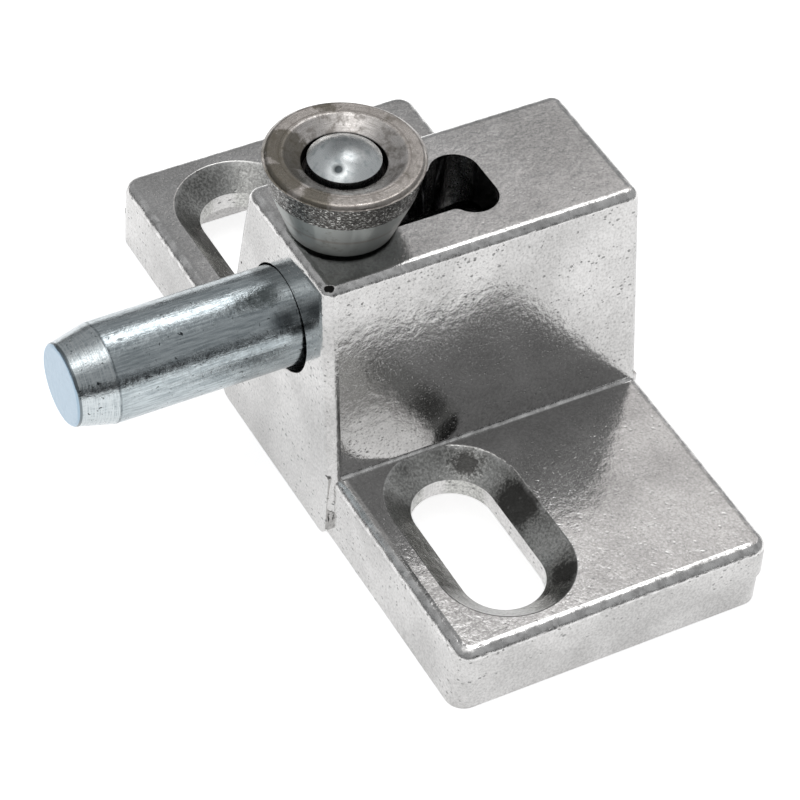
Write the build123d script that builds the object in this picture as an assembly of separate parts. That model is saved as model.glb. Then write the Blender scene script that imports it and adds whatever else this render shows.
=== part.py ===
from build123d import *
import math
import os

# Slide lock: a cast housing on two slotted flanges, a sprung round bolt and a turned knob on a domed rivet.
# X runs along the base plate, the bolt comes out towards -Y, and Z is up.
# The origin is on the base, below the bolt's axis and on the line through both screw slots.

# Base plate
plate_length = 70.0
plate_depth = 32.3
plate_thickness = 7.6
plate_corner = 1.8
plate_edge_round = 1.15
screw_line_setback = 9.1
parting_height = 3.8
parting_step = 0.05
mould_shift = 0.3
wall_draft = 0.5

# Block on the plate
block_height = 28.2
block_top_width = 15.5
block_side_slope = 9.0
block_front_proud = 0.25
block_rear_proud = 0.1
block_face_lean = 0.5
block_corner = 1.2
block_top_round = 1.1
pad_side_step = 0.35
pad_corner = 1.2

# Cored underside
rim_wall = 2.0
pocket_depth = 3.8
pocket_corner = 1.2
pocket_draft = 1.5
core_wall = 2.4
core_roof = 2.8
core_corner = 1.5

# Countersunk screw slots
screw_spacing = 43.8
screw_slot_width = 8.0
screw_slot_run = 8.9
countersink_depth = 2.0
countersink_angle = 104.0
countersink_rim_round = 0.25

# Bore
bolt_height = 19.1
bolt_clearance = 0.09
bore_mouth_clearance = 0.5
bore_mouth_drop = 0.4
bore_mouth_taper_length = 8.0
bore_mouth_break = 0.2
bore_rear_wall = 2.6

# Guide slot in the block's roof, with a cross notch that holds the bolt back
rivet_setback = 5.4
stroke = 12.6
slot_stop_gap = 0.05
slot_width = 5.5
notch_clearance = 0.4
notch_side_shift = 1.75
notch_blend = 0.8

# Bolt
bolt_diameter = 9.5
bolt_projection = 21.85
nose_face_diameter = 7.7
nose_cone_length = 3.75
nose_edge_round = 0.35
bolt_tail_behind_rivet = 4.1
tail_break = 0.4
spigot_diameter = 5.8
spigot_length = 2.6

# Spring
spring_wire = 0.8
spring_clearance = 0.35
spring_seat_gap = 0.05
spring_turns = 6.5

# Rivet
rivet_shank_diameter = 4.0
rivet_end_recess = 0.6
rivet_head_diameter = 6.7
rivet_head_edge = 1.5
rivet_dome_rise = 1.2
rivet_under_head_break = 0.25

# Knob
knob_slide_gap = 0.3
knob_base_diameter = 9.9
knob_cone_height = 4.75
knob_band_lower_diameter = 13.5
knob_band_height = 2.7
knob_rim_diameter = 14.7
knob_rim_chamfer = 0.42
knob_rim_chamfer_height = 0.35
knob_dish_diameter = 11.0
knob_dish_depth = 0.9
knob_counterbore_diameter = 7.66
knob_counterbore_depth = 1.2
knob_edge_break = 0.15
rivet_running_clearance = 0.05
rivet_head_gap = 0.05

# Places that follow from the sizes above
plate_front = -screw_line_setback
plate_rear = plate_front + plate_depth
plate_middle = (plate_front + plate_rear) / 2
block_front_top = plate_front - block_front_proud
block_rear_top = plate_rear + block_rear_proud
rivet_place = plate_front + rivet_setback
retracted_place = rivet_place + stroke
bolt_radius = bolt_diameter / 2
bore_radius = bolt_radius + bolt_clearance
bore_end = plate_rear - bore_rear_wall
bolt_tail = rivet_place + bolt_tail_behind_rivet
bolt_nose = block_front_top - bolt_projection
knob_base = block_height + knob_slide_gap
knob_top = knob_base + knob_cone_height + knob_band_height + knob_rim_chamfer_height
counterbore_floor = knob_top - knob_dish_depth - knob_counterbore_depth
rivet_head_seat = counterbore_floor + rivet_head_gap


def rounded_slab(length, depth, corner, z):
    """Rounded rectangle at height z, centred on the plate."""
    return Pos(0, plate_middle, z) * RectangleRounded(length, depth, corner)


def drafted_prism(length, depth, corner, low, high, draft):
    """Prism from height low to height high whose walls lean in by the draft angle on the way up."""
    lean = 2 * (high - low) * math.tan(math.radians(draft))
    foot = rounded_slab(length, depth, corner, low)
    head = rounded_slab(length - lean, depth - lean, corner, high)
    return loft(Sketch() + [foot, head])


def make_plate():
    """Base plate: two mould halves that meet at the parting line, the lower one a little smaller and out of line."""
    upper = drafted_prism(plate_length, plate_depth, plate_corner, parting_height, plate_thickness, wall_draft)
    upper = fillet(upper.faces().sort_by(Axis.Z)[-1].edges(), plate_edge_round)
    step_length = plate_length - 2 * parting_step
    step_depth = plate_depth - 2 * parting_step
    lean = 2 * parting_height * math.tan(math.radians(wall_draft))
    foot = rounded_slab(step_length - lean, step_depth - lean, plate_corner, 0)
    head = rounded_slab(step_length, step_depth, plate_corner, parting_height)
    lower = loft(Sketch() + [foot, head])
    return upper + Pos(-mould_shift, 0, 0) * lower


def block_section(z, inset=0.0):
    """The block's section at height z, drawn in by inset on every side. Its rear face is upright."""
    drop = block_height - z
    lean = drop * math.tan(math.radians(block_face_lean))
    half = block_top_width / 2 + drop * math.tan(math.radians(block_side_slope)) - inset
    front = block_front_top - lean + inset
    rear = block_rear_top - inset
    return Pos(0, (front + rear) / 2, z) * Rectangle(2 * half, rear - front)


def make_block():
    """Tapered block that carries the bore, from inside the plate to its rounded top."""
    block = loft(Sketch() + [block_section(parting_height), block_section(block_height)])
    uprights = block.edges().filter_by(lambda edge: abs(edge.tangent_at(0.5).Z) > 0.5)
    block = fillet(uprights, block_corner)
    return fillet(block.faces().sort_by(Axis.Z)[-1].edges(), block_top_round)


def make_pad():
    """Part of the block below the plate's top, which stands a little proud of the plate's two long walls."""
    pad = loft(Sketch() + [block_section(0), block_section(plate_thickness)])
    side = block_top_width / 2 + (block_height - plate_thickness) * math.tan(math.radians(block_side_slope))
    half = side - pad_side_step
    outline = Pos(0, plate_thickness / 2) * Rectangle(2 * half, plate_thickness)
    outline = fillet(outline.vertices().sort_by(Axis.Y)[:2], pad_corner)
    face = Plane.XZ.offset(plate_depth) * outline
    return pad & extrude(face, 4 * plate_depth, both=True)


def make_pockets():
    """Hollow underside: a shallow pocket inside the rim and a deeper core below the bore."""
    step_length = plate_length - 2 * parting_step
    step_depth = plate_depth - 2 * parting_step
    pocket = drafted_prism(
        step_length - 2 * rim_wall, step_depth - 2 * rim_wall, pocket_corner, 0, pocket_depth, pocket_draft
    )
    core_top = bolt_height - bore_radius - core_roof
    core = loft(Sketch() + [block_section(0, core_wall), block_section(core_top, core_wall)])
    uprights = core.edges().filter_by(lambda edge: abs(edge.tangent_at(0.5).Z) > 0.5)
    core = fillet(uprights, core_corner)
    return pocket + core


def make_screw_slot(side):
    """Cutter for one countersunk screw slot, on the side given by its sign."""
    place = Pos(side * screw_spacing / 2, 0, 0)
    through = extrude(SlotCenterToCenter(screw_slot_run, screw_slot_width), plate_thickness)
    countersink_foot = Pos(0, 0, plate_thickness - countersink_depth)
    countersink = extrude(
        countersink_foot * SlotCenterToCenter(screw_slot_run, screw_slot_width),
        countersink_depth,
        taper=-countersink_angle / 2,
    )
    return place * (through + countersink)


def make_bore():
    """Cutter for the blind bore: a straight land behind a mouth that widens and drops towards the front face."""
    face = block_front_top - (block_height - bolt_height) * math.tan(math.radians(block_face_lean))
    mouth_radius = bolt_radius + bore_mouth_clearance
    land_start = face + bore_mouth_taper_length
    land_length = bore_end - land_start
    land = Pos(0, land_start + land_length / 2, 0) * Rot(90, 0, 0) * Cylinder(bore_radius, land_length)
    mouth_ring = Plane.XZ.offset(-face) * Pos(0, -bore_mouth_drop) * Circle(mouth_radius)
    land_ring = Plane.XZ.offset(-land_start) * Circle(bore_radius)
    mouth = loft(Sketch() + [mouth_ring, land_ring])
    edge_break = Pos(0, face, -bore_mouth_drop) * Rot(90, 0, 0) * Cone(
        mouth_radius - bore_mouth_break, mouth_radius + bore_mouth_break, 2 * bore_mouth_break
    )
    return Pos(0, 0, bolt_height) * (land + mouth + edge_break)


def make_guide_slot():
    """Cutter for the slot that the rivet runs in, with the cross notch at its retracted end."""
    shank_radius = rivet_shank_diameter / 2
    slot_end = rivet_place - shank_radius - slot_stop_gap
    notch_radius = shank_radius + notch_clearance
    slot_length = retracted_place - slot_end
    straight = Pos(0, slot_end + slot_length / 2) * Rectangle(slot_width, slot_length)
    straight = fillet(straight.vertices().sort_by(Axis.Y)[:2], slot_width / 2 - 0.01)
    notch = Pos(0, retracted_place) * SlotCenterToCenter(2 * notch_side_shift, 2 * notch_radius)
    outline = straight + notch
    waist = [corner for corner in outline.vertices() if is_waist(corner, notch_radius)]
    outline = fillet(waist, notch_blend)
    return extrude(Pos(0, 0, bolt_height) * outline, block_height - bolt_height)


def is_waist(corner, notch_radius):
    """True at the two corners where the slot's sides run into the cross notch."""
    on_side = abs(abs(corner.X) - slot_width / 2) < 0.01
    return on_side and abs(corner.Y - retracted_place) < notch_radius


def is_countersink_rim(edge):
    """True for the edges where a countersink opens in the plate's top."""
    reach = screw_slot_width / 2 + countersink_depth * math.tan(math.radians(countersink_angle / 2))
    at_top = abs(edge.center().Z - plate_thickness) < 0.01
    return at_top and abs(edge.center().Y) < reach + 0.1


def make_housing():
    """The whole casting."""
    plate = make_plate()
    for side in (-1, 1):
        plate -= make_screw_slot(side)
    rims = plate.edges().filter_by(is_countersink_rim)
    plate = fillet(rims, countersink_rim_round)
    housing = plate + make_pad() + make_block()
    housing -= make_pockets()
    for side in (-1, 1):
        housing -= make_screw_slot(side)
    housing -= make_guide_slot()
    housing -= make_bore()
    return housing


def make_bolt():
    """Round bolt with a coned nose, a cross hole for the rivet and a spigot for the spring."""
    section = Polyline(
        (0, bolt_nose),
        (nose_face_diameter / 2, bolt_nose),
        (bolt_radius, bolt_nose + nose_cone_length),
        (bolt_radius, bolt_tail - tail_break),
        (bolt_radius - tail_break, bolt_tail),
        (spigot_diameter / 2, bolt_tail),
        (spigot_diameter / 2, bolt_tail + spigot_length - tail_break),
        (spigot_diameter / 2 - tail_break, bolt_tail + spigot_length),
        (0, bolt_tail + spigot_length),
        close=True,
    )
    bolt = revolve(make_face(section), Axis.Y)
    nose_edge = bolt.edges().filter_by(GeomType.CIRCLE).sort_by(Axis.Y)[0]
    bolt = fillet(nose_edge, nose_edge_round)
    cross_hole = Pos(0, rivet_place, 0) * Cylinder(rivet_shank_diameter / 2, 2 * bolt_diameter)
    return Pos(0, 0, bolt_height) * (bolt - cross_hole)


def make_spring():
    """Compression spring round the bolt's spigot, with its end coils ground flat."""
    coil_radius = spigot_diameter / 2 + spring_clearance + spring_wire / 2
    low = bolt_tail + spring_seat_gap
    high = bore_end - spring_seat_gap
    length = high - low
    pitch = length / spring_turns
    path = Helix(pitch, length + spring_wire, coil_radius)
    start = Plane(origin=path @ 0, z_dir=path % 0)
    coil = sweep(start * Circle(spring_wire / 2), path=path, is_frenet=True)
    ground = Pos(0, 0, (length + spring_wire) / 2) * Cylinder(coil_radius + spring_wire, length)
    coil = coil & ground
    return Pos(0, low - spring_wire / 2, bolt_height) * Rot(-90, 0, 0) * coil


def make_rivet():
    """Domed rivet that carries the knob, from the bolt's cross hole to its head."""
    shank_radius = rivet_shank_diameter / 2
    head_radius = rivet_head_diameter / 2
    foot = bolt_height - bolt_radius + rivet_end_recess
    edge_top = rivet_head_seat + rivet_head_edge
    outline = Polyline(
        (0, edge_top + rivet_dome_rise),
        (0, foot),
        (shank_radius, foot),
        (shank_radius, rivet_head_seat),
        (head_radius - rivet_under_head_break, rivet_head_seat),
        (head_radius, rivet_head_seat + rivet_under_head_break),
        (head_radius, edge_top),
    )
    dome_radius = (head_radius**2 + rivet_dome_rise**2) / (2 * rivet_dome_rise)
    dome = RadiusArc((head_radius, edge_top), (0, edge_top + rivet_dome_rise), -dome_radius)
    section = Plane.XZ * make_face([*outline.edges(), *dome.edges()])
    return Pos(0, rivet_place, 0) * revolve(section, Axis.Z)


def make_knob():
    """Turned knob: cone, rough band, flat rim, dish and counterbore round the rivet's head."""
    hole_radius = rivet_shank_diameter / 2 + rivet_running_clearance
    band_foot = knob_base + knob_cone_height
    band_top = band_foot + knob_band_height
    section = Polyline(
        (hole_radius, knob_base),
        (knob_base_diameter / 2 - knob_edge_break, knob_base),
        (knob_base_diameter / 2, knob_base + knob_edge_break),
        (knob_band_lower_diameter / 2, band_foot),
        (knob_rim_diameter / 2, band_top),
        (knob_rim_diameter / 2 - knob_rim_chamfer, knob_top),
        (knob_dish_diameter / 2, knob_top),
        (knob_counterbore_diameter / 2, knob_top - knob_dish_depth),
        (knob_counterbore_diameter / 2, counterbore_floor),
        (hole_radius, counterbore_floor),
        close=True,
    )
    knob = revolve(Plane.XZ * make_face(section), Axis.Z)
    turned_edges = knob.edges().filter_by(GeomType.CIRCLE)
    outer_edges = turned_edges.filter_by(lambda edge: edge.radius > knob_counterbore_diameter / 2 + 0.01)
    knob = fillet(outer_edges.sort_by(Axis.Z)[2:], knob_edge_break)
    return Pos(0, rivet_place, 0) * knob


pieces = {
    "housing": make_housing(),
    "bolt": make_bolt(),
    "spring": make_spring(),
    "knob_rivet": make_rivet(),
    "knob": make_knob(),
}

os.makedirs("parts", exist_ok=True)
for name, piece in pieces.items():
    export_step(piece, os.path.join("parts", name + ".step"))
    print(name, "volume", round(piece.volume, 1), "mm3")
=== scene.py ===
import bmesh
import bpy
import math
from mathutils import Euler, Matrix, Vector, noise


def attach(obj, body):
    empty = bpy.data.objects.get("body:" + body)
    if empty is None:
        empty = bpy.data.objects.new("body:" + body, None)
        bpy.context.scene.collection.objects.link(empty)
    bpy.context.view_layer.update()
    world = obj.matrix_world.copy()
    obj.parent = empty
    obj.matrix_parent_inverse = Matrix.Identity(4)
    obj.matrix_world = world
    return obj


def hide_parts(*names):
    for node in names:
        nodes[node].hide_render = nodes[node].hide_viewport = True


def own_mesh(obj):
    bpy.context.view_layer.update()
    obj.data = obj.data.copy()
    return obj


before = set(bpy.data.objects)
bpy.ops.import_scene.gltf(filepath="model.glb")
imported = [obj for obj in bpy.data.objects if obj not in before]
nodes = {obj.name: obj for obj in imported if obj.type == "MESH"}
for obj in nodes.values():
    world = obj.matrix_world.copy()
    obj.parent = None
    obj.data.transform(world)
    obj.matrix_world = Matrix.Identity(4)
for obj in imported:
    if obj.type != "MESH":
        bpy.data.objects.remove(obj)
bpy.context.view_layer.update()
mm = 0.001
noiseRange = (0.35, 0.65)  # most values of a noise texture lie between these
print("frame loaded:", sorted(nodes))


# sRGB hex to linear RGBA
def linear(hexColour):
    parts = [int(hexColour[i:i + 2], 16) / 255 for i in (1, 3, 5)]
    return [c / 12.92 if c <= 0.04045 else ((c + 0.055) / 1.055) ** 2.4 for c in parts] + [1.0]


# settings are the node's own properties and inputs are socket values;
# a link comes from a socket, or from a node's first live output
def addNode(tree, kind, settings=None, inputs=None, links=None):
    node = tree.nodes.new(kind)
    for name, value in (settings or {}).items():
        setattr(node, name, value)
    for name, value in (inputs or {}).items():
        node.inputs[name].default_value = value
    for name, source in (links or {}).items():
        if not isinstance(source, bpy.types.NodeSocket):
            source = [output for output in source.outputs if output.enabled][0]
        tree.links.new(source, node.inputs[name])
    return node


# the four values of a Map Range node
def span(low, high, toLow=0.0, toHigh=1.0):
    return {"From Min": low, "From Max": high, "To Min": toLow, "To Max": toHigh}


def newMaterial(name):
    material = bpy.data.materials.new(name)
    material.use_nodes = True
    material.node_tree.nodes.clear()
    return material, material.node_tree


# The end of every metal here: bumps over one another, each a height and a depth in mm, then the shader.
# A bump with a negative depth goes in.
def finishMetal(tree, colour, rough, bumps):
    normal = None
    for height, depth in bumps:
        normal = addNode(tree, "ShaderNodeBump", {"invert": depth < 0}, {
            "Strength": 1.0, "Distance": abs(depth) * mm}, {
            "Height": height, **({"Normal": normal} if normal else {})})
    shader = addNode(tree, "ShaderNodeBsdfPrincipled", inputs={"Metallic": 1.0}, links={
        "Base Color": colour, "Roughness": rough, "Normal": normal})
    addNode(tree, "ShaderNodeOutputMaterial", links={"Surface": shader})


def dress(node, material):
    nodes[node].data.materials.clear()
    nodes[node].data.materials.append(material)


# Turns a finished shape into an object; edges that bend by more than sharpAngle degrees stay sharp
def addPiece(name, shape, material, sharpAngle=None):
    mesh = bpy.data.meshes.new(name)
    shape.to_mesh(mesh)
    shape.free()
    if sharpAngle:
        mesh.set_sharp_from_angle(angle=math.radians(sharpAngle))
    mesh.materials.append(material)
    piece = bpy.data.objects.new(name, mesh)
    bpy.context.scene.collection.objects.link(piece)
    return piece


# Housing: aluminium die casting, tumbled after casting.
# The skin keeps the orange peel and the small gas pits of the mould, and tumbling brightens the upper edges,
# which carry a painted highlight as well.
cast = {
    "colour": "#d1d0cf",
    "shade": "#a8a7a6",
    # worn edges, brightened also as a painted highlight on the upward edges and the countersinks' upper edge
    "wearAndHighlightColour": "#e4e3e2",
    "pitColour": "#8c8c8b",
    # near black inside the voids: painted shade
    "voidShadeColour": "#2b2a29",
    "sinkColour": "#c6c6c3",  # the countersinks, which the tumbling media did not reach, made darker also as painted shade
    "sinkShade": "#626260",
    "scorchAndShadeColour": "#484745",  # patches where the mould's coating burnt on, laid also as painted shade
    "roughLow": 0.09,
    "roughHigh": 0.17,
    "sinkRough": 0.05,  # added to the roughness there
    "edgeRough": 0.13,  # and on the rounded edges
    "voidRough": 0.5,
    "cloudSize": 8.0,  # mm, slow change of tone
    "peelSize": 1.0,  # mm, one wave of the orange peel
    "peelHeight": 0.023,
    "grainSize": 0.24,  # mm, the tumbling media's marks
    "grainHeight": 0.009,
    "toneRange": (0.38, 0.62, 0.0, 0.5),  # the cloud's and the grain's share of the tone
    "slope": (0.985, 0.93),  # the normal's largest part, on a level or upright face and on a slope
    "slotLimits": (33.4, 7.2, 7.63),  # mm, a slope beyond one of these is an edge and not a countersink
    "upward": (0.2, 0.35),  # the edges that face up are worn bright and carry a painted highlight
    "wearAndSheenBreaks": (0.4, 0.6, 0.15, 1.0),
    "edgeDent": 0.045,  # mm, knocks along the rounded edges
    "raggedSize": 0.7,
    "ragged": 0.36,  # mm, how far the pits' outlines are pulled about
    "pitCell": 0.46,  # mm, each cell of this size holds one pit at most
    "pitReach": 0.34,  # the largest pit's radius as a share of the cell
    "pitStretch": (0.72, 0.72, 1.3),  # the flow in the mould drew the pits out level
    "pitDepth": 0.02,
    "pitCrowd": (0.4, 0.6, -0.16, 0.06),  # the cloud makes them few here and many there
    "pitPick": (0.3, 1.0),
    "pitEdge": (0.0, 0.09),
    "pitUpright": (0.95, 0.5, 0.25, 1.0),  # level faces keep few
    "flecks": (0.37, 0.27, 0.0, 0.4),
    "voids": [  # x, y, z and radius in mm, and how many times taller than wide
        (7.12, -8.74, 28.0, 0.46, 0.8),
        (7.28, -8.46, 28.0, 0.46, 0.8),
        (-7.9, -9.3, 18.9, 0.22, 1.0),
        (10.6, -9.3, 2.6, 0.14, 7.0),
    ],
    "voidFull": 0.7,  # share of the radius within which it is full
    "scorchesAndShade": [(13.4, 3.4, 1.4), (19.8, 5.0, 2.5), (29.4, 4.8, 1.7), (-14.0, 3.6, 1.8), (-24.0, -4.4, 2.2)],
    "scorchAndShadeHeight": 6.7,  # the patches are x, y and size in mm, at this height
    "scorchAndShadePeel": 2.2,  # mm, how far the peel and the grain pull their edges about
    "scorchAndShadeGrain": 2.4,
    "scorchAndShadeFade": (2.6, 1.7),  # mm past its size, where it starts and is full
    "scorchAndShadeTone": 0.85,
    "paintedLip": (7.25, 7.5, 0.0, 0.4),  # a painted highlight along the countersinks' upper edge: two heights in mm, two tones
}


def makeCastAluminium():
    material, tree = newMaterial("dieCastAluminium")
    coords = addNode(tree, "ShaderNodeTexCoord")
    place = coords.outputs["Object"]
    cloud = addNode(tree, "ShaderNodeTexNoise", inputs={
        "Scale": 1 / (cast["cloudSize"] * mm), "Detail": 3.0, "Roughness": 0.55}, links={"Vector": place})
    peel = addNode(tree, "ShaderNodeTexNoise", inputs={
        "Scale": 1 / (cast["peelSize"] * mm), "Detail": 2.0, "Roughness": 0.45, "Distortion": 0.4},
        links={"Vector": place})
    grain = addNode(tree, "ShaderNodeTexNoise", inputs={
        "Scale": 1 / (cast["grainSize"] * mm), "Detail": 3.0, "Roughness": 0.6}, links={"Vector": place})

    # slopes are where the normal leaves every axis; near the slots they are the countersinks
    normalParts = addNode(tree, "ShaderNodeSeparateXYZ", links={"Vector": coords.outputs["Normal"]})
    largest = None
    for axis in "XYZ":
        size = addNode(tree, "ShaderNodeMath", {"operation": "ABSOLUTE"}, links={0: normalParts.outputs[axis]})
        if largest:
            size = addNode(tree, "ShaderNodeMath", {"operation": "MAXIMUM"}, links={0: largest, 1: size})
        largest = size
    sloped = addNode(tree, "ShaderNodeMapRange", inputs=span(*cast["slope"]), links={"Value": largest})
    placeParts = addNode(tree, "ShaderNodeSeparateXYZ", links={"Vector": place})
    outside = None
    for axis, limit in zip("XYZ", cast["slotLimits"]):
        away = addNode(tree, "ShaderNodeMath", {"operation": "ABSOLUTE"}, links={0: placeParts.outputs[axis]})
        away = addNode(tree, "ShaderNodeMath", {"operation": "GREATER_THAN"}, {1: limit * mm}, {0: away})
        if outside:
            away = addNode(tree, "ShaderNodeMath", {"operation": "MAXIMUM"}, links={0: outside, 1: away})
        outside = away
    edge = addNode(tree, "ShaderNodeMath", {"operation": "MULTIPLY"}, links={0: sloped, 1: outside})
    sink = addNode(tree, "ShaderNodeMath", {"operation": "SUBTRACT"}, links={0: sloped, 1: edge})
    facesUp = addNode(tree, "ShaderNodeMapRange", inputs=span(*cast["upward"]),
                      links={"Value": normalParts.outputs["Z"]})
    broken = addNode(tree, "ShaderNodeMapRange", inputs=span(*cast["wearAndSheenBreaks"]), links={"Value": peel})
    # the upward edges: worn bright, with a painted highlight
    wearAndSheen = addNode(tree, "ShaderNodeMath", {"operation": "MULTIPLY"}, links={0: edge, 1: facesUp})
    wearAndSheen = addNode(tree, "ShaderNodeMath", {"operation": "MULTIPLY"}, links={0: wearAndSheen, 1: broken})

    # gas pits: a cell's random number says whether it has one and how wide it is, and level faces keep few
    pulled = addNode(tree, "ShaderNodeTexNoise", inputs={
        "Scale": 1 / (cast["raggedSize"] * mm), "Detail": 1.0}, links={"Vector": place})
    bent = addNode(tree, "ShaderNodeVectorMath", {"operation": "MULTIPLY_ADD"}, {
        1: (cast["ragged"] * mm,) * 3}, {0: pulled.outputs["Color"], 2: place})
    drawn = addNode(tree, "ShaderNodeVectorMath", {"operation": "MULTIPLY"}, {1: cast["pitStretch"]}, {0: bent})
    cells = addNode(tree, "ShaderNodeTexVoronoi", inputs={"Scale": 1 / (cast["pitCell"] * mm)},
                    links={"Vector": drawn})
    pick = addNode(tree, "ShaderNodeSeparateXYZ", links={"Vector": cells.outputs["Color"]})
    crowd = addNode(tree, "ShaderNodeMapRange", inputs=span(*cast["pitCrowd"]), links={"Value": cloud})
    chance = addNode(tree, "ShaderNodeMath", {"operation": "ADD"}, links={0: pick.outputs["X"], 1: crowd})
    radius = addNode(tree, "ShaderNodeMapRange", inputs=span(*cast["pitPick"], 0.0, cast["pitReach"]),
                     links={"Value": chance})
    inside = addNode(tree, "ShaderNodeMath", {"operation": "SUBTRACT"}, links={
        0: radius, 1: cells.outputs["Distance"]})
    pit = addNode(tree, "ShaderNodeMapRange", inputs=span(*cast["pitEdge"]), links={"Value": inside})
    upright = addNode(tree, "ShaderNodeMapRange", inputs=span(*cast["pitUpright"]),
                      links={"Value": normalParts.outputs["Z"]})
    pit = addNode(tree, "ShaderNodeMath", {"operation": "MULTIPLY"}, links={0: pit, 1: upright})
    fleck = addNode(tree, "ShaderNodeMapRange", inputs=span(*cast["flecks"]), links={"Value": grain})
    pit = addNode(tree, "ShaderNodeMath", {"operation": "MAXIMUM"}, links={0: pit, 1: fleck})

    # larger voids, each at its own place, painted near black as the shade inside them; the first two overlap
    # into the pit at the block's front corner
    void = None
    for x, y, z, size, tall in cast["voids"]:
        centre = tuple((c + cast["ragged"] / 2) * mm for c in (x, y, z))
        away = addNode(tree, "ShaderNodeVectorMath", {"operation": "SUBTRACT"}, {1: centre}, {0: bent})
        away = addNode(tree, "ShaderNodeVectorMath", {"operation": "MULTIPLY"}, {1: (1, 1, 1 / tall)}, {
            0: away})
        away = addNode(tree, "ShaderNodeVectorMath", {"operation": "LENGTH"}, links={0: away})
        hole = addNode(tree, "ShaderNodeMapRange", inputs=span(size * mm, size * cast["voidFull"] * mm),
                       links={"Value": away})
        if void:
            hole = addNode(tree, "ShaderNodeMath", {"operation": "MAXIMUM"}, links={0: void, 1: hole})
        void = hole

    cloudTone = addNode(tree, "ShaderNodeMapRange", inputs=span(*cast["toneRange"]), links={"Value": cloud})
    grainTone = addNode(tree, "ShaderNodeMapRange", inputs=span(*cast["toneRange"]), links={"Value": grain})
    tone = addNode(tree, "ShaderNodeMath", {"operation": "ADD"}, links={0: cloudTone, 1: grainTone})
    body = addNode(tree, "ShaderNodeMix", {"data_type": "RGBA"}, {
        "A": linear(cast["shade"]), "B": linear(cast["colour"])}, {"Factor": tone})
    sinkTone = addNode(tree, "ShaderNodeMix", {"data_type": "RGBA"}, {
        "A": linear(cast["sinkShade"]), "B": linear(cast["sinkColour"])}, {"Factor": tone})
    colour = addNode(tree, "ShaderNodeMix", {"data_type": "RGBA"}, links={
        "Factor": sink, "A": body, "B": sinkTone})

    # scorched patches on the countersinks, partly painted shade, broken up by the peel and the grain
    scorchedAndShaded = None
    for x, y, size in cast["scorchesAndShade"]:
        centre = (x * mm, y * mm, cast["scorchAndShadeHeight"] * mm)
        away = addNode(tree, "ShaderNodeVectorMath", {"operation": "DISTANCE"}, {1: centre}, {0: place})
        for texture, pull in ((peel, cast["scorchAndShadePeel"]), (grain, cast["scorchAndShadeGrain"])):
            away = addNode(tree, "ShaderNodeMath", {"operation": "MULTIPLY_ADD"}, {1: pull * mm}, {
                0: texture, 2: away})
        start, full = ((size + more) * mm for more in cast["scorchAndShadeFade"])
        blot = addNode(tree, "ShaderNodeMapRange", inputs=span(start, full, 0.0, cast["scorchAndShadeTone"]),
                       links={"Value": away})
        if scorchedAndShaded:
            blot = addNode(tree, "ShaderNodeMath", {"operation": "MAXIMUM"}, links={0: scorchedAndShaded, 1: blot})
        scorchedAndShaded = blot
    scorchedAndShaded = addNode(tree, "ShaderNodeMath", {"operation": "MULTIPLY"}, links={0: scorchedAndShaded, 1: sink})
    # a painted highlight along the countersinks' upper edge, broken up by the peel
    lipLow, lipHigh, *lipTones = cast["paintedLip"]
    paintedLip = addNode(tree, "ShaderNodeMapRange", inputs=span(lipLow * mm, lipHigh * mm, *lipTones),
                  links={"Value": placeParts.outputs["Z"]})
    for factor in (sink, broken):
        paintedLip = addNode(tree, "ShaderNodeMath", {"operation": "MULTIPLY"}, links={0: paintedLip, 1: factor})
    for factor, name in ((scorchedAndShaded, "scorchAndShadeColour"), (paintedLip, "wearAndHighlightColour"), (wearAndSheen, "wearAndHighlightColour"),
                         (pit, "pitColour"), (void, "voidShadeColour")):
        colour = addNode(tree, "ShaderNodeMix", {"data_type": "RGBA"}, {"B": linear(cast[name])}, {
            "Factor": factor, "A": colour})

    rough = addNode(tree, "ShaderNodeMapRange", inputs=span(*noiseRange, cast["roughLow"], cast["roughHigh"]),
                    links={"Value": grain})
    for area, name in ((sink, "sinkRough"), (edge, "edgeRough"), (void, "voidRough")):
        rough = addNode(tree, "ShaderNodeMath", {"operation": "MULTIPLY_ADD"}, {1: cast[name]}, {
            0: area, 2: rough})
    dents = addNode(tree, "ShaderNodeMath", {"operation": "MULTIPLY"}, links={0: peel, 1: edge})
    holes = addNode(tree, "ShaderNodeMath", {"operation": "MAXIMUM"}, links={0: pit, 1: void})
    finishMetal(tree, colour, rough, (
        (peel, cast["peelHeight"]), (grain, cast["grainHeight"]), (dents, cast["edgeDent"]),
        (holes, -cast["pitDepth"])))
    return material


# The fillets where the block's sides stand on the flanges
foot = {
    "wallX": 11.01,  # mm, the block's side at the flange's top
    "flangeTop": 7.6,
    "lean": 9.0,  # degrees that the side leans in
    "radius": 0.4,
    "front": -8.4,
    "rear": 22.3,
    "sunk": 0.15,  # how far the back of the piece goes into the casting
    "steps": 6,
    "sharpAngle": 30,
}


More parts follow.
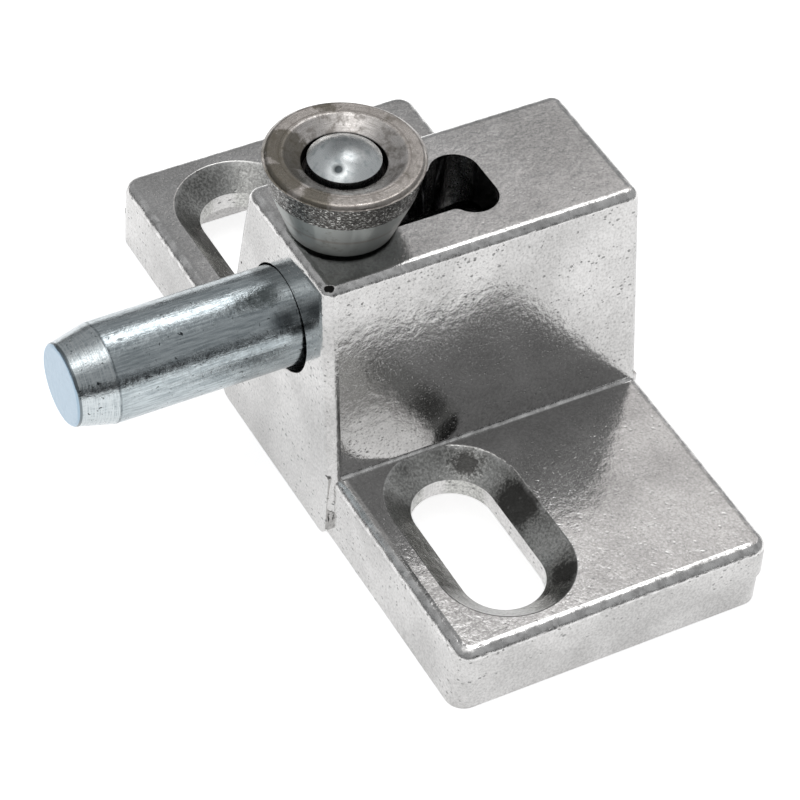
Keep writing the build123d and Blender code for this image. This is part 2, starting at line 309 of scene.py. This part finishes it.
def makeFootFillet(name, side, material):
    shape = bmesh.new()
    lean = math.radians(foot["lean"])
    # the round touches the level flange and the leaning side
    reach = foot["radius"] * math.tan((math.pi / 2 - lean) / 2)
    centre = Vector((foot["wallX"] + reach, foot["front"], foot["flangeTop"] + foot["radius"])) * mm
    start = shape.verts.new(centre - Vector((0, 0, foot["radius"] * mm)))
    spun = bmesh.ops.spin(shape, geom=[start], cent=centre, axis=(0, 1, 0), dvec=(0, 0, 0),
                          angle=math.pi / 2 - lean, steps=foot["steps"], use_merge=False, use_duplicate=False)
    last = [item for item in spun["geom_last"] if isinstance(item, bmesh.types.BMVert)][0]
    back = Vector((foot["wallX"] - foot["sunk"], foot["front"], foot["flangeTop"] - foot["sunk"]))
    corner = shape.verts.new(back * mm)
    shape.edges.new((start, corner))
    shape.edges.new((last, corner))
    end = bmesh.ops.contextual_create(shape, geom=list(shape.edges))["faces"]
    pushed = bmesh.ops.extrude_face_region(shape, geom=end, use_keep_orig=True)
    moved = [item for item in pushed["geom"] if isinstance(item, bmesh.types.BMVert)]
    bmesh.ops.translate(shape, verts=moved, vec=(0, (foot["rear"] - foot["front"]) * mm, 0))
    if side < 0:
        bmesh.ops.scale(shape, verts=shape.verts, vec=(-1, 1, 1))
    bmesh.ops.recalc_face_normals(shape, faces=shape.faces)
    for face in shape.faces:
        face.smooth = abs(face.normal.y) < 0.5 and len(face.verts) == 4  # the two ends stay flat
    piece = addPiece(name, shape, material, foot["sharpAngle"])
    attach(piece, "housing")


# Bolt: drawn steel rod, turned at the nose, with bluish bright zinc plate.
# Drawing leaves fine streaks along the rod, the turned cone has rings, and the plate has small dark specks.
# Nothing finer than about 0.1 mm shows in the render, so the streaks and the rings are drawn
# as coarse as they need to be to show.
rod = {
    "colour": "#bdc5c8",
    "streakColour": "#949da1",
    "coneColour": "#c6ccce",
    "speckColour": "#33383c",
    # the painted reflection by the bore and the oil smear
    "smearAndReflectionColour": "#4b5154",
    "endColour": "#9aaebe",
    # painted shade on the edge at the cone's end and round the end face
    "ringShadeColour": "#767e82",
    "roughLow": 0.12,
    "roughHigh": 0.3,
    "coneGloss": 0.8,  # the cone's roughness as a share of the rod's
    "streakWidth": 0.2,  # mm
    "streakLength": 2.4,
    "streakHeight": 0.01,
    "streakTone": (0.36, 0.6),
    "blotchSize": 0.45,
    "blotchHeight": 0.026,
    "ringWidth": 0.1,  # mm, turning marks on the cone
    "ringLength": 2.0,
    "ringHeight": 0.014,
    "ringTone": (0.35, 0.6),
    "speckSize": 0.36,
    "specks": (0.71, 0.75),
    "coneEnd": -27.45,  # mm, where the nose cone meets the rod
    "coneRingShade": 0.1,  # mm, half the width of the painted shade line there
    "coneRingBreaks": (0.4, 0.6, 0.3, 1.0),
    "endFace": -31.06,
    "endRing": -30.84,  # mm, the painted shade ring on the end face's rounded edge stops here
    "smearsAndReflection": [(3.64, -11.0, 22.15, 0.9), (4.3, -9.9, 21.1, 0.6), (1.2, -26.0, 23.7, 0.2)],  # a painted reflection of the block's edge by the bore, then a small smear of old oil
    "darkPatchStretch": (1, 0.6, 1),  # they are x, y, z and radius in mm, and longer along the rod
    "darkPatchFade": (1.7, 0.9),  # shares of the radius, where it starts and is full
    "darkPatchTone": 0.85,
}


def makeZincRod():
    material, tree = newMaterial("zincPlatedRod")
    coords = addNode(tree, "ShaderNodeTexCoord")
    place = coords.outputs["Object"]
    along = addNode(tree, "ShaderNodeSeparateXYZ", links={"Vector": place}).outputs["Y"]
    wide, tall = 1 / (rod["streakWidth"] * mm), 1 / (rod["streakLength"] * mm)
    drawn = addNode(tree, "ShaderNodeMapping", inputs={"Scale": (wide, tall, wide)}, links={"Vector": place})
    streaks = addNode(tree, "ShaderNodeTexNoise", inputs={"Scale": 1.0, "Detail": 4.0, "Roughness": 0.65},
                      links={"Vector": drawn})
    blotch = addNode(tree, "ShaderNodeTexNoise", inputs={
        "Scale": 1 / (rod["blotchSize"] * mm), "Detail": 4.0, "Roughness": 0.65}, links={"Vector": place})
    speckNoise = addNode(tree, "ShaderNodeTexNoise", inputs={
        "Scale": 1 / (rod["speckSize"] * mm), "Detail": 1.0, "Distortion": 1.0}, links={"Vector": place})
    speck = addNode(tree, "ShaderNodeMapRange", inputs=span(*rod["specks"]), links={"Value": speckNoise})
    onCone, onEnd, endRingShade = [
        addNode(tree, "ShaderNodeMath", {"operation": "LESS_THAN"}, {1: rod[name] * mm}, {0: along})
        for name in ("coneEnd", "endFace", "endRing")]
    # painted shade along the edge where the cone runs out into the rod, broken by the blotches
    atRing = addNode(tree, "ShaderNodeMath", {"operation": "COMPARE"}, {
        1: rod["coneEnd"] * mm, 2: rod["coneRingShade"] * mm}, {0: along})
    ringBreaks = addNode(tree, "ShaderNodeMapRange", inputs=span(*rod["coneRingBreaks"]),
                         links={"Value": blotch})
    coneRingShade = addNode(tree, "ShaderNodeMath", {"operation": "MULTIPLY"}, links={0: atRing, 1: ringBreaks})
    narrow, long = 1 / (rod["ringWidth"] * mm), 1 / (rod["ringLength"] * mm)
    turned = addNode(tree, "ShaderNodeMapping", inputs={"Scale": (long, narrow, long)}, links={"Vector": place})
    rings = addNode(tree, "ShaderNodeTexNoise", inputs={"Scale": 1.0, "Detail": 3.0, "Roughness": 0.6},
                    links={"Vector": turned})
    coneRings = addNode(tree, "ShaderNodeMath", {"operation": "MULTIPLY"}, links={0: rings, 1: onCone})

    streakTone = addNode(tree, "ShaderNodeMapRange", inputs=span(*rod["streakTone"]), links={"Value": streaks})
    colour = addNode(tree, "ShaderNodeMix", {"data_type": "RGBA"}, {
        "A": linear(rod["streakColour"]), "B": linear(rod["colour"])}, {"Factor": streakTone})
    bare = addNode(tree, "ShaderNodeMapRange", inputs=span(*rod["ringTone"]), links={"Value": coneRings})
    # dark marks: the specks, a painted reflection of the block's edge by the bore, and a small smear of old oil
    smearAndReflection = speck
    for x, y, z, size in rod["smearsAndReflection"]:
        centre = (x * mm, y * mm, z * mm)
        away = addNode(tree, "ShaderNodeVectorMath", {"operation": "SUBTRACT"}, {1: centre}, {0: place})
        away = addNode(tree, "ShaderNodeVectorMath", {"operation": "MULTIPLY"}, {1: rod["darkPatchStretch"]}, {
            0: away})
        away = addNode(tree, "ShaderNodeVectorMath", {"operation": "LENGTH"}, links={0: away})
        away = addNode(tree, "ShaderNodeMath", {"operation": "MULTIPLY_ADD"}, {1: size * mm}, {
            0: blotch, 2: away})
        start, full = (size * share * mm for share in rod["darkPatchFade"])
        blot = addNode(tree, "ShaderNodeMapRange", inputs=span(start, full, 0.0, rod["darkPatchTone"]),
                       links={"Value": away})
        smearAndReflection = addNode(tree, "ShaderNodeMath", {"operation": "MAXIMUM"}, links={0: smearAndReflection, 1: blot})
    for factor, name in ((bare, "coneColour"), (smearAndReflection, "smearAndReflectionColour"), (speck, "speckColour"),
                         (coneRingShade, "ringShadeColour"), (endRingShade, "ringShadeColour"), (onEnd, "endColour")):
        colour = addNode(tree, "ShaderNodeMix", {"data_type": "RGBA"}, {"B": linear(rod[name])}, {
            "Factor": factor, "A": colour})

    rough = addNode(tree, "ShaderNodeMapRange", inputs=span(*noiseRange, rod["roughLow"], rod["roughHigh"]),
                    links={"Value": blotch})
    finer = addNode(tree, "ShaderNodeMapRange", inputs=span(0.0, 1.0, 1.0, rod["coneGloss"]),
                    links={"Value": onCone})
    rough = addNode(tree, "ShaderNodeMath", {"operation": "MULTIPLY"}, links={0: rough, 1: finer})
    finishMetal(tree, colour, rough, (
        (streaks, rod["streakHeight"]), (blotch, rod["blotchHeight"]), (coneRings, rod["ringHeight"])))
    return material


# Knob: turned free-cutting steel, handled and lightly stained.
# The tool leaves rings round the axis, the band is torn and dull, the cone is smooth,
# and oil leaves olive stains.
# The counterbore's gap, the rim's chamfer and a fine groove are darkened as painted shade.
knob = {
    "axisY": -3.7,  # mm, the knob's axis
    "base": 28.5,
    "bandFoot": 33.25,
    "bandTop": 35.95,
    "top": 36.3,
    "holeRadius": 2.05,
    "baseRadius": 4.95,
    "bandFootRadius": 6.75,
    "rimRadius": 7.35,
    "rimChamfer": 0.42,
    "dishRadius": 5.5,
    "dishDepth": 0.9,
    "counterboreRadius": 3.83,
    "counterboreFloor": 34.2,
    "edgeBreak": 0.07,
    "steps": 320,
    "bandRows": 26,
    "tear": 0.07,  # mm, how deep the band's torn skin goes
    "tearLength": 0.5,
    "tearHeight": 0.16,
    "tearLevel": 0.2,  # only what the noise leaves below this is torn
    "tearFade": 0.15,  # mm, the skin comes back to the band's edges over this
    "skinSlack": 0.01,  # mm inside the band's foot that still counts as band
    "paintSlack": 0.1,
    "colour": "#c6c0bb",
    "dishColour": "#d2cecb",
    # near black in the counterbore's gap round the rivet's head: painted shade
    "boreShadeColour": "#262423",
    "coneColour": "#989b99",
    "bandColour": "#eeeeea",
    "bandDark": "#454341",
    "shadeColour": "#87817c",
    "stainColour": "#5a5548",
    "roughLow": 0.18,
    "roughHigh": 0.4,
    "dishGloss": 1.15,  # the dish's roughness as a share of the rim's
    "coneRough": 0.4,
    "markDepth": 0.11,  # mm, the tool's marks round the axis, as coarse as they need to be to show
    "markTurns": 3.0,  # larger makes each mark shorter
    "markHeight": 0.012,
    "markTone": (0.42, 0.62, 0.0, 0.5),
    "tornScale": (8.0, 8.0, 1.1),  # against the tool's marks: scales about 0.3 mm long and 0.1 mm high
    "tornDepth": 0.035,  # mm
    "tornTone": (0.54, 0.68),
    "mottleSize": 1.1,  # mm, wear from handling
    "mottleHeight": 0.01,
    "mottleTone": (0.47, 0.58, 0.0, 0.8),
    "stainSize": 1.6,
    "faintStains": (0.56, 0.7, 0.0, 0.5),
    "stains": [(-2.7, -4.3, 2.5), (0.4, -6.3, 2.0), (-6.4, 1.4, 0.9), (4.2, -5.2, 1.5), (4.6, 3.6, 0.6)],
    "stainHeight": 36.0,  # the stains are x, y from the axis and size in mm, at this height
    "stainRagged": 3.2,  # mm, how far the noise pulls their edges about
    "stainFade": (1.75, 1.35),  # mm past its size, where it starts and is full
    "stainTone": 0.75,
    "dishEdge": 0.2,  # mm, over which the dish's tone starts
    "boreEdge": 0.06,
    "grooveRadius": 5.86,  # a fine painted shade line for a tool groove just outside the dish
    "grooveWidth": 0.07,
    "grooveTone": 0.6,
    "lipEdge": 0.12,  # painted shade makes the rim's chamfer a little darker
    "lipTone": 0.5,
}


# Cuts each corner of an outline and adds a point on either side, so that smooth shading turns only there.
# A cut takes at most this share of a side.
def softened(corners, width, share=0.22):
    outline = [corners[0]]
    for before, corner, after in zip(corners, corners[1:], corners[2:]):
        for other, steps in ((before, (2, 1)), (after, (1, 2))):
            way = Vector(other) - Vector(corner)
            cut = way.normalized() * min(width, way.length * share)
            outline += [tuple(Vector(corner) + cut * step) for step in steps]
    return outline + [corners[-1]]


# The knob's half section, from the hole's foot outwards and back, as radius and height in mm
def knobSection():
    k = knob
    lower = softened([(k["holeRadius"], k["base"]), (k["baseRadius"], k["base"]),
                      (k["bandFootRadius"], k["bandFoot"])], k["edgeBreak"])
    lean = (k["rimRadius"] - k["bandFootRadius"]) / (k["bandTop"] - k["bandFoot"])
    band = []
    for row in range(1, k["bandRows"]):
        z = k["bandFoot"] + (k["bandTop"] - k["bandFoot"]) * row / k["bandRows"]
        band.append((k["bandFootRadius"] + lean * (z - k["bandFoot"]), z))
    upper = softened([(k["rimRadius"], k["bandTop"]), (k["rimRadius"] - k["rimChamfer"], k["top"]),
                      (k["dishRadius"], k["top"]), (k["counterboreRadius"], k["top"] - k["dishDepth"]),
                      (k["counterboreRadius"], k["counterboreFloor"]),
                      (k["holeRadius"], k["counterboreFloor"])], k["edgeBreak"])
    return lower + band + upper


# How far the torn skin goes in at a point of the band, in mm and never above zero,
# with streaks that run round the knob
def tornSkin(direction, z):
    long = knob["rimRadius"] / knob["tearLength"]
    at = Vector((direction.x * long, direction.y * long, z / knob["tearHeight"]))
    rise = noise.fractal(at, 0.6, 2.0, 3)
    edge = min(z - knob["bandFoot"], knob["bandTop"] - z)
    fade = min(1.0, max(0.0, edge / knob["tearFade"]))
    return min(0.0, rise - knob["tearLevel"]) * knob["tear"] * fade


def makeKnobPiece(material):
    shape = bmesh.new()
    axis = Vector((0, knob["axisY"] * mm, 0))
    points = [shape.verts.new((r * mm, knob["axisY"] * mm, z * mm)) for r, z in knobSection()]
    edges = [shape.edges.new(pair) for pair in zip(points, points[1:] + points[:1])]
    bmesh.ops.spin(shape, geom=points + edges, cent=axis, axis=(0, 0, 1), dvec=(0, 0, 0),
                   angle=2 * math.pi, steps=knob["steps"], use_merge=True, use_duplicate=False)
    for vert in shape.verts:
        z = vert.co.z / mm
        out = Vector((vert.co.x - axis.x, vert.co.y - axis.y, 0)) / mm
        atBand = out.length > knob["bandFootRadius"] - knob["skinSlack"]
        if atBand and knob["bandFoot"] <= z <= knob["bandTop"]:
            vert.co += out.normalized() * tornSkin(out.normalized(), z) * mm
    bmesh.ops.recalc_face_normals(shape, faces=shape.faces)
    for face in shape.faces:
        face.smooth = True
    piece = addPiece("turnedKnob", shape, material)
    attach(piece, "knob")
    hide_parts("knob")


def makeTurnedSteel():
    material, tree = newMaterial("turnedSteel")
    coords = addNode(tree, "ShaderNodeTexCoord")
    place = addNode(tree, "ShaderNodeMapping", inputs={"Location": (0, -knob["axisY"] * mm, 0)},
                    links={"Vector": coords.outputs["Object"]})
    level = addNode(tree, "ShaderNodeVectorMath", {"operation": "MULTIPLY"}, {1: (1, 1, 0)}, {0: place})
    height = addNode(tree, "ShaderNodeSeparateXYZ", links={"Vector": place}).outputs["Z"]
    # tool marks: noise that changes fast across the turning direction and slowly round the axis
    radius = addNode(tree, "ShaderNodeVectorMath", {"operation": "LENGTH"}, links={0: level})
    across = addNode(tree, "ShaderNodeMath", {"operation": "ADD"}, links={0: radius, 1: height})
    across = addNode(tree, "ShaderNodeMath", {"operation": "DIVIDE"}, {1: knob["markDepth"] * mm}, {0: across})
    facing = addNode(tree, "ShaderNodeVectorMath", {"operation": "NORMALIZE"}, links={0: level})
    facing = addNode(tree, "ShaderNodeVectorMath", {"operation": "SCALE"}, {"Scale": knob["markTurns"]}, {
        0: facing})
    facingParts = addNode(tree, "ShaderNodeSeparateXYZ", links={"Vector": facing})
    marked = addNode(tree, "ShaderNodeCombineXYZ", links={
        "X": facingParts.outputs["X"], "Y": facingParts.outputs["Y"], "Z": across})
    marks = addNode(tree, "ShaderNodeTexNoise", inputs={"Scale": 1.0, "Detail": 3.0, "Roughness": 0.7},
                    links={"Vector": marked})
    torn = addNode(tree, "ShaderNodeVectorMath", {"operation": "MULTIPLY"}, {1: knob["tornScale"]}, {0: marked})
    torn = addNode(tree, "ShaderNodeTexNoise", inputs={"Scale": 1.0, "Detail": 3.0, "Roughness": 0.6},
                   links={"Vector": torn})
    mottle = addNode(tree, "ShaderNodeTexNoise", inputs={
        "Scale": 1 / (knob["mottleSize"] * mm), "Detail": 6.0, "Roughness": 0.75}, links={"Vector": place})
    stainNoise = addNode(tree, "ShaderNodeTexNoise", inputs={
        "Scale": 1 / (knob["stainSize"] * mm), "Detail": 5.0, "Roughness": 0.7}, links={"Vector": place})

    overFoot = addNode(tree, "ShaderNodeMath", {"operation": "GREATER_THAN"}, {1: knob["bandFoot"] * mm}, {
        0: height})
    underFoot = addNode(tree, "ShaderNodeMath", {"operation": "SUBTRACT"}, {0: 1.0}, {1: overFoot})
    underTop = addNode(tree, "ShaderNodeMath", {"operation": "LESS_THAN"}, {1: knob["bandTop"] * mm}, {
        0: height})
    bandInside = (knob["bandFootRadius"] - knob["paintSlack"]) * mm
    wide = addNode(tree, "ShaderNodeMath", {"operation": "GREATER_THAN"}, {1: bandInside}, {0: radius})
    onBand = overFoot
    for part in (underTop, wide):
        onBand = addNode(tree, "ShaderNodeMath", {"operation": "MULTIPLY"}, links={0: onBand, 1: part})

    # each stain is a blot round its own place, with an edge that the noise makes ragged
    stained = addNode(tree, "ShaderNodeMapRange", inputs=span(*knob["faintStains"]),
                      links={"Value": stainNoise})
    for x, y, size in knob["stains"]:
        centre = (x * mm, y * mm, knob["stainHeight"] * mm)
        away = addNode(tree, "ShaderNodeVectorMath", {"operation": "DISTANCE"}, {1: centre}, {0: place})
        away = addNode(tree, "ShaderNodeMath", {"operation": "MULTIPLY_ADD"}, {1: knob["stainRagged"] * mm}, {
            0: stainNoise, 2: away})
        start, full = ((size + more) * mm for more in knob["stainFade"])
        blot = addNode(tree, "ShaderNodeMapRange", inputs=span(start, full, 0.0, knob["stainTone"]),
                       links={"Value": away})
        stained = addNode(tree, "ShaderNodeMath", {"operation": "MAXIMUM"}, links={0: stained, 1: blot})
    shade = addNode(tree, "ShaderNodeMapRange", inputs=span(*knob["mottleTone"]), links={"Value": mottle})
    markShade = addNode(tree, "ShaderNodeMapRange", inputs=span(*knob["markTone"]), links={"Value": marks})
    shade = addNode(tree, "ShaderNodeMath", {"operation": "MAXIMUM"}, links={0: shade, 1: markShade})
    turnedShade = addNode(tree, "ShaderNodeMath", {"operation": "MULTIPLY"}, links={0: shade, 1: overFoot})
    tornTone = addNode(tree, "ShaderNodeMapRange", inputs=span(*knob["tornTone"]), links={"Value": torn})
    bandTone = addNode(tree, "ShaderNodeMix", {"data_type": "RGBA"}, {
        "A": linear(knob["bandDark"]), "B": linear(knob["bandColour"])}, {"Factor": tornTone})
    dish, bore, lipStart = knob["dishRadius"], knob["counterboreRadius"], knob["rimRadius"] - knob["rimChamfer"]
    inDish = addNode(tree, "ShaderNodeMapRange", inputs=span((dish + knob["dishEdge"]) * mm, dish * mm),
                     links={"Value": radius})
    # painted shade in the counterbore, round the rivet's head
    boreShade = addNode(tree, "ShaderNodeMapRange", inputs=span((bore + knob["boreEdge"]) * mm, bore * mm),
                     links={"Value": radius})
    # painted shade on the rim's chamfer
    paintedLip = addNode(tree, "ShaderNodeMapRange", inputs=span(
        lipStart * mm, (lipStart + knob["lipEdge"]) * mm, 0.0, knob["lipTone"]), links={"Value": radius})
    # painted shade along the groove's line
    atGroove = addNode(tree, "ShaderNodeMath", {"operation": "COMPARE"}, {
        1: knob["grooveRadius"] * mm, 2: knob["grooveWidth"] * mm}, {0: radius})
    groove = addNode(tree, "ShaderNodeMath", {"operation": "MULTIPLY"}, {1: knob["grooveTone"]}, {0: atGroove})
    colour = addNode(tree, "ShaderNodeMix", {"data_type": "RGBA"}, {
        "A": linear(knob["colour"]), "B": linear(knob["dishColour"])}, {"Factor": inDish})
    for factor, name in ((underFoot, "coneColour"), (turnedShade, "shadeColour"), (groove, "shadeColour"),
                         (paintedLip, "shadeColour"), (stained, "stainColour"), (boreShade, "boreShadeColour")):
        colour = addNode(tree, "ShaderNodeMix", {"data_type": "RGBA"}, {"B": linear(knob[name])}, {
            "Factor": factor, "A": colour})
    colour = addNode(tree, "ShaderNodeMix", {"data_type": "RGBA"}, links={
        "Factor": onBand, "A": colour, "B": bandTone})

    rough = addNode(tree, "ShaderNodeMapRange", inputs=span(*noiseRange, knob["roughLow"], knob["roughHigh"]),
                    links={"Value": mottle})
    finer = addNode(tree, "ShaderNodeMapRange", inputs=span(0.0, 1.0, 1.0, knob["dishGloss"]),
                    links={"Value": inDish})
    rough = addNode(tree, "ShaderNodeMath", {"operation": "MULTIPLY"}, links={0: rough, 1: finer})
    rough = addNode(tree, "ShaderNodeMix", {"data_type": "FLOAT"}, {"B": knob["coneRough"]}, {
        "Factor": underFoot, "A": rough})
    turnedMarks = addNode(tree, "ShaderNodeMath", {"operation": "MULTIPLY"}, links={0: marks, 1: overFoot})
    bandMarks = addNode(tree, "ShaderNodeMath", {"operation": "MULTIPLY"}, links={0: torn, 1: onBand})
    finishMetal(tree, colour, rough, (
        (mottle, knob["mottleHeight"]), (turnedMarks, knob["markHeight"]), (bandMarks, knob["tornDepth"])))
    return material


# Rivet: cold-headed steel with bright zinc plate, smooth from the heading die,
# with painted shade over the crown, a few faint marks and one dark one
rivet = {
    "colour": "#d8dcdd",
    "markColour": "#b0b7b9",
    "blotColour": "#3f4345",
    "roughLow": 0.22,
    "roughHigh": 0.34,
    "markSize": 0.9,
    "markTone": (0.52, 0.68),
    "markHeight": 0.008,
    # the first blot is painted shade over the crown, the second a dark mark
    "blots": [(-0.2, -3.3, 37.2, 2.5, 0.5), (1.82, -5.3, 36.5, 0.72, 1.0)],  # x, y, z, radius in mm, how dark
    "blotFull": 0.45,  # share of the radius within which it is full
}
# Spring: dark drawn wire, matt from its oil and with die marks along it
wire = {
    "colour": "#5a5a5c",
    "markColour": "#3a3a3c",
    "roughLow": 0.28,
    "roughHigh": 0.42,
    "markSize": 0.5,
    "markTone": (0.52, 0.68),
    "markHeight": 0.008,
    "blots": [],
}


# A smooth metal whose tone and gloss change a little over the surface, for the two small steel pieces
def makeMarkedMetal(name, look):
    material, tree = newMaterial(name)
    coords = addNode(tree, "ShaderNodeTexCoord")
    place = coords.outputs["Object"]
    marks = addNode(tree, "ShaderNodeTexNoise", inputs={
        "Scale": 1 / (look["markSize"] * mm), "Detail": 4.0, "Roughness": 0.6}, links={"Vector": place})
    tone = addNode(tree, "ShaderNodeMapRange", inputs=span(*look["markTone"]), links={"Value": marks})
    colour = addNode(tree, "ShaderNodeMix", {"data_type": "RGBA"}, {
        "A": linear(look["colour"]), "B": linear(look["markColour"])}, {"Factor": tone})
    for x, y, z, size, dark in look["blots"]:
        centre = (x * mm, y * mm, z * mm)
        away = addNode(tree, "ShaderNodeVectorMath", {"operation": "DISTANCE"}, {1: centre}, {0: place})
        blot = addNode(tree, "ShaderNodeMapRange", inputs=span(
            size * mm, size * look["blotFull"] * mm, 0.0, dark), links={"Value": away})
        colour = addNode(tree, "ShaderNodeMix", {"data_type": "RGBA"}, {"B": linear(look["blotColour"])}, {
            "Factor": blot, "A": colour})
    rough = addNode(tree, "ShaderNodeMapRange", inputs=span(*noiseRange, look["roughLow"], look["roughHigh"]),
                    links={"Value": marks})
    finishMetal(tree, colour, rough, ((marks, look["markHeight"]),))
    return material


# The spring is wound again here
coil = {
    "radius": 3.65,  # mm, to the middle of the wire
    "wire": 0.8,
    "turns": 6.5,
    "front": 0.45,
    "rear": 20.55,
    "height": 19.1,  # the bore's axis
    "over": 0.42,  # wound this much further at each end, then ground flat
    "travel": 12.6,  # how far the bolt presses it together
    "sides": 16,
    "stepsPerTurn": 48,
    "onCut": 1e-7,  # m, points this near to a cut lie on it
    "sharpAngle": 35,
}


def makeSpring(material):
    shape = bmesh.new()
    length = coil["rear"] - coil["front"]
    wound = length + 2 * coil["over"]
    turns = coil["turns"] * wound / length
    steps = round(turns * coil["stepsPerTurn"])
    start = Vector((coil["radius"], coil["front"] - coil["over"], coil["height"])) * mm
    bmesh.ops.create_circle(shape, segments=coil["sides"], radius=coil["wire"] / 2 * mm,
                            matrix=Matrix.Translation(start))
    bmesh.ops.spin(shape, geom=list(shape.verts) + list(shape.edges), cent=(0, 0, coil["height"] * mm),
                   axis=(0, 1, 0), dvec=(0, wound / steps * mm, 0), angle=2 * math.pi * turns, steps=steps,
                   use_merge=False, use_duplicate=False)
    for end, way in ((coil["front"], -1), (coil["rear"], 1)):
        cut = bmesh.ops.bisect_plane(shape, geom=list(shape.verts) + list(shape.edges) + list(shape.faces),
                                     dist=coil["onCut"], plane_co=(0, end * mm, 0), plane_no=(0, way, 0),
                                     clear_outer=True)
        rim = [item for item in cut["geom_cut"] if isinstance(item, bmesh.types.BMEdge)]
        bmesh.ops.holes_fill(shape, edges=rim, sides=0)
    bmesh.ops.recalc_face_normals(shape, faces=shape.faces)
    for face in shape.faces:
        face.smooth = True
    piece = addPiece("coiledSpring", shape, material, coil["sharpAngle"])
    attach(piece, "housing")
    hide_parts("spring")
    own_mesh(piece)


turnedSteel = makeTurnedSteel()
castAluminium = makeCastAluminium()
springWire = makeMarkedMetal("drawnSpringWire", wire)
dress("housing", castAluminium)
dress("bolt", makeZincRod())
dress("knob", turnedSteel)
dress("knob_rivet", makeMarkedMetal("brightZincRivet", rivet))
dress("spring", springWire)
print("materials done")

makeKnobPiece(turnedSteel)
print("knob done")
makeFootFillet("footFilletRight", 1, castAluminium)
makeFootFillet("footFilletLeft", -1, castAluminium)
print("foot fillets done")
makeSpring(springWire)
print("spring done")


# Floor, world and lamps
studio = {
    "floorSize": 3.0,
    "floorColour": "#f4f4f4",
    "floorLift": 0.72,  # added for what the camera and the metal see, so that the white ground stays white
    "roomUp": (0, 0.08, 1),  # the way in which the room gets lighter
    "roomLow": "#565657",
    "roomHigh": "#adaeaf",
    "roomFade": (0.04, 0.34),
    "windows": [  # direction, cosines where its light starts and is full, colour; the last is a dark card
        ((-0.42, 0.52, 0.74), 0.952, 0.984, "#f8f5f4"),
        ((-0.38, 0.34, 0.86), 0.972, 0.992, "#ffffff"),
        ((0.04, -0.16, 0.98), 0.87, 0.96, "#ffffff"),
        ((0.97, 0.08, 0.13), 0.93, 0.968, "#262627"),
    ],
    "lamps": [("window", (-0.39, 0.37, 1.01), 1.0), ("overhead", (0.1, -0.14, 1.15), 0.6)],
    "lampAim": (0, 0, 0.01),
    "lampSize": 0.34,
}


def makeFloor():
    bpy.ops.mesh.primitive_plane_add(size=studio["floorSize"], location=(0, 0, 0))
    floor = bpy.context.object
    floor.name = "floor"
    material, tree = newMaterial("paleFloor")
    path = addNode(tree, "ShaderNodeLightPath")
    seen = path.outputs["Is Camera Ray"]
    for name in ("Is Glossy Ray", "Is Transmission Ray"):
        seen = addNode(tree, "ShaderNodeMath", {"operation": "MAXIMUM"}, links={0: seen, 1: path.outputs[name]})
    strength = addNode(tree, "ShaderNodeMath", {"operation": "MULTIPLY"}, {1: studio["floorLift"]}, {0: seen})
    diffuse = addNode(tree, "ShaderNodeBsdfDiffuse", inputs={"Color": linear(studio["floorColour"])})
    lift = addNode(tree, "ShaderNodeEmission", inputs={"Color": (1, 1, 1, 1)}, links={"Strength": strength})
    both = addNode(tree, "ShaderNodeAddShader", links={0: diffuse, 1: lift})
    addNode(tree, "ShaderNodeOutputMaterial", links={"Surface": both})
    floor.data.materials.append(material)


# The world is a plain grey room, darker towards its foot, with soft windows at the back, a soft light overhead
# and a dark card at the right, which draws the dark line along the bolt
def makeWorld():
    world = bpy.data.worlds.new("studio")
    bpy.context.scene.world = world
    world.use_nodes = True
    tree = world.node_tree
    tree.nodes.clear()
    direction = addNode(tree, "ShaderNodeTexCoord").outputs["Generated"]
    up = addNode(tree, "ShaderNodeVectorMath", {"operation": "DOT_PRODUCT"}, {1: studio["roomUp"]}, {
        0: direction})
    up = addNode(tree, "ShaderNodeMapRange", inputs=span(*studio["roomFade"]), links={"Value": up})
    colour = addNode(tree, "ShaderNodeMix", {"data_type": "RGBA"}, {
        "A": linear(studio["roomLow"]), "B": linear(studio["roomHigh"])}, {"Factor": up})
    for side, start, full, grey in studio["windows"]:
        along = addNode(tree, "ShaderNodeVectorMath", {"operation": "DOT_PRODUCT"}, {
            1: Vector(side).normalized()}, {0: direction})
        amount = addNode(tree, "ShaderNodeMapRange", {"interpolation_type": "SMOOTHSTEP"}, span(start, full), {
            "Value": along})
        colour = addNode(tree, "ShaderNodeMix", {"data_type": "RGBA"}, {"B": linear(grey)}, {
            "Factor": amount, "A": colour})
    back = addNode(tree, "ShaderNodeBackground", inputs={"Strength": 1.0}, links={"Color": colour})
    addNode(tree, "ShaderNodeOutputWorld", links={"Surface": back})


def makeLamp(name, place, power):
    light = bpy.data.lights.new(name, "AREA")
    light.shape = "RECTANGLE"
    light.size = light.size_y = studio["lampSize"]
    light.energy = power
    lamp = bpy.data.objects.new(name, light)
    lamp.location = place
    lamp.rotation_euler = (Vector(studio["lampAim"]) - Vector(place)).to_track_quat("-Z", "Y").to_euler()
    bpy.context.scene.collection.objects.link(lamp)


makeFloor()
makeWorld()
for lampValues in studio["lamps"]:
    makeLamp(*lampValues)
print("studio done")


# The camera stands where the photograph was taken
eye = {
    "place": (0.2056283, -0.1215956, 0.2400593),
    "turn": (45.32431, -3.17840, 61.73565),  # degrees
    "lens": 159.877,
    "sensor": 36.0,
}


def makeCamera():
    camera = bpy.data.cameras.new("camera")
    camera.sensor_fit = "HORIZONTAL"
    camera.sensor_width = eye["sensor"]
    camera.lens = eye["lens"]
    holder = bpy.data.objects.new("camera", camera)
    holder.location = eye["place"]
    holder.rotation_euler = Euler([math.radians(angle) for angle in eye["turn"]], "XYZ")
    bpy.context.scene.collection.objects.link(holder)
    bpy.context.scene.camera = holder


makeCamera()
bpy.context.scene.view_settings.view_transform = "Standard"
print("camera done")
